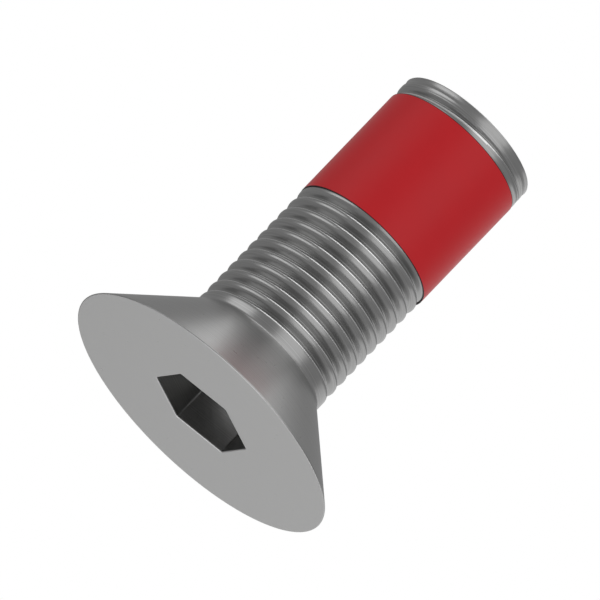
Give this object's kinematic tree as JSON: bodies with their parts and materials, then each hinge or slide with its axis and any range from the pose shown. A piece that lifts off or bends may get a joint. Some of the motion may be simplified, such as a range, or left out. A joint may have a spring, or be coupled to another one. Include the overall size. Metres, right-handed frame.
{
  "type": "countersunk socket screw",
  "caption": "Steel machine screw with a flat 90 degree countersunk head, hexagon socket, fine metric thread and a red locking coating near its point",
  "frame": {"origin": "centre of the head's flat face, which the screw stands on", "axes": "+Z along the screw's axis from the head to the point, +X and -X through two corners of the hexagon socket"},
  "size_m": [0.016, 0.016, 0.02],
  "materials": {
    "steel": "satin, cold headed and thread rolled",
    "coating": "smooth satin, dipped and cured"
  },
  "bodies": {
    "root": {"screw": "steel", "locking_coating": "coating"}
  },
  "joints": []
}
